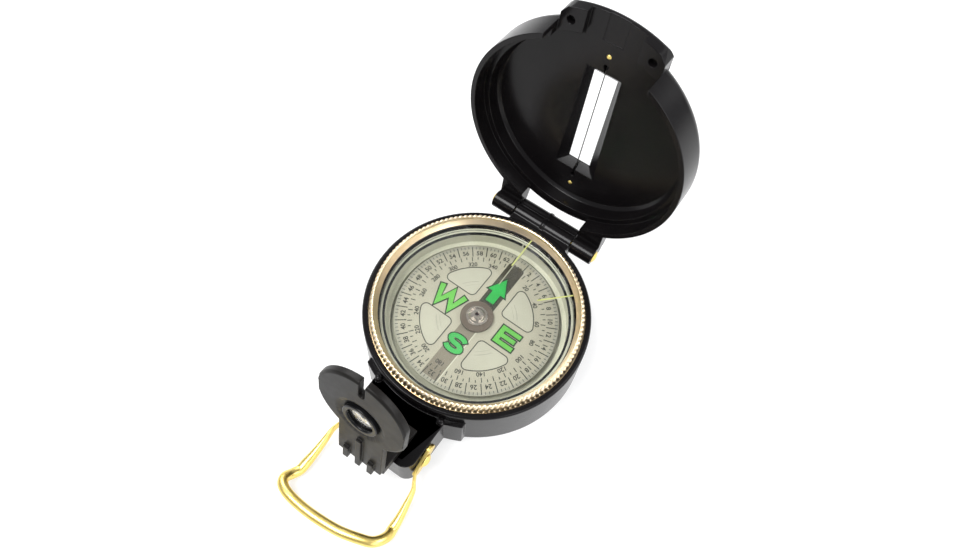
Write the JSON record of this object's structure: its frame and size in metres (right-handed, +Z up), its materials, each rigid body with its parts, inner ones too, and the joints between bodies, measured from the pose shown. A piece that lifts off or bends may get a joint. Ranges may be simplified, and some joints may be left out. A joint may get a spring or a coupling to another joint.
{
  "type": "sighting compass",
  "caption": "Folding sighting compass: round black case, open lid with a sight slot and wire, folding lens sight, knurled bezel, floating dial and a brass wire thumb loop.",
  "frame": {"origin": "on the dial's axis, at the flat underside of the case", "axes": "+Z up along the dial's axis, +Y towards the lid hinge, +X along the lid hinge's axis, so the lens sight and thumb loop are at -Y"},
  "size_m": [0.056, 0.1086, 0.0727],
  "materials": {
    "black_plastic": "satin moulded",
    "sight_plastic": "satin moulded, warm dark grey",
    "brass": "drawn wire and pins, bright",
    "bezel_gold": "champagne gold anodised",
    "crystal_clear": "clear, polished",
    "capsule_plastic": "milky white, polished",
    "capsule_clear": "clear, liquid side",
    "seal_rubber": "black",
    "washer_fibre": "dull",
    "post_brass": "turned",
    "needle_steel": "polished tip",
    "dial_ivory": "printed card",
    "magnet_steel": "ground, dark",
    "hub_plastic": "translucent grey",
    "cap_metal": "turned",
    "jewel_stone": "synthetic ruby",
    "luminous_paint": "painted line",
    "sight_wire": "drawn, dark",
    "lens_glass": "polished",
    "ring_plastic": "black"
  },
  "bodies": {
    "base": {"base_case": "black_plastic", "lid_hinge_pin": "brass", "rear_pin": "brass", "capsule_bowl": "capsule_plastic", "capsule_seal": "seal_rubber", "capsule_cover": "capsule_clear", "pivot_post": "post_brass", "pivot_needle": "needle_steel", "bezel_washer": "washer_fibre"},
    "bezel": {"bezel_ring": "bezel_gold", "crystal": "crystal_clear", "luminous_lines": "luminous_paint"},
    "dial": {"dial_card": "dial_ivory", "magnet_bar": "magnet_steel", "dial_hub": "hub_plastic", "pivot_cap": "cap_metal", "jewel_bearing": "jewel_stone"},
    "lid": {"lid_shell": "black_plastic", "sighting_wire": "sight_wire", "wire_pins": "brass"},
    "sight": {"lens_bracket": "sight_plastic", "magnifying_lens": "lens_glass", "lens_ring": "ring_plastic"},
    "loop": {"thumb_loop": "brass"}
  },
  "joints": [
    {"name": "bezel_turn", "type": "hinge", "parent": "base", "child": "bezel", "pos_m": [0, 0, 0.0143], "axis": [0, 0, 1], "continuous": true},
    {"name": "dial_turn", "type": "hinge", "parent": "base", "child": "dial", "pos_m": [0, 0, 0.0084], "axis": [0, 0, 1], "continuous": true},
    {"name": "lid_hinge", "type": "hinge", "parent": "base", "child": "lid", "pos_m": [0, 0.0303, 0.0127], "axis": [1, 0, 0], "range_deg": [0, 95.3]},
    {"name": "sight_hinge", "type": "hinge", "parent": "base", "child": "sight", "pos_m": [0, -0.0358, 0.0072], "axis": [1, 0, 0], "range_deg": [-80, 8]},
    {"name": "loop_hinge", "type": "hinge", "parent": "base", "child": "loop", "pos_m": [0, -0.0358, 0.0072], "axis": [1, 0, 0], "range_deg": [-56, 90]}
  ]
}
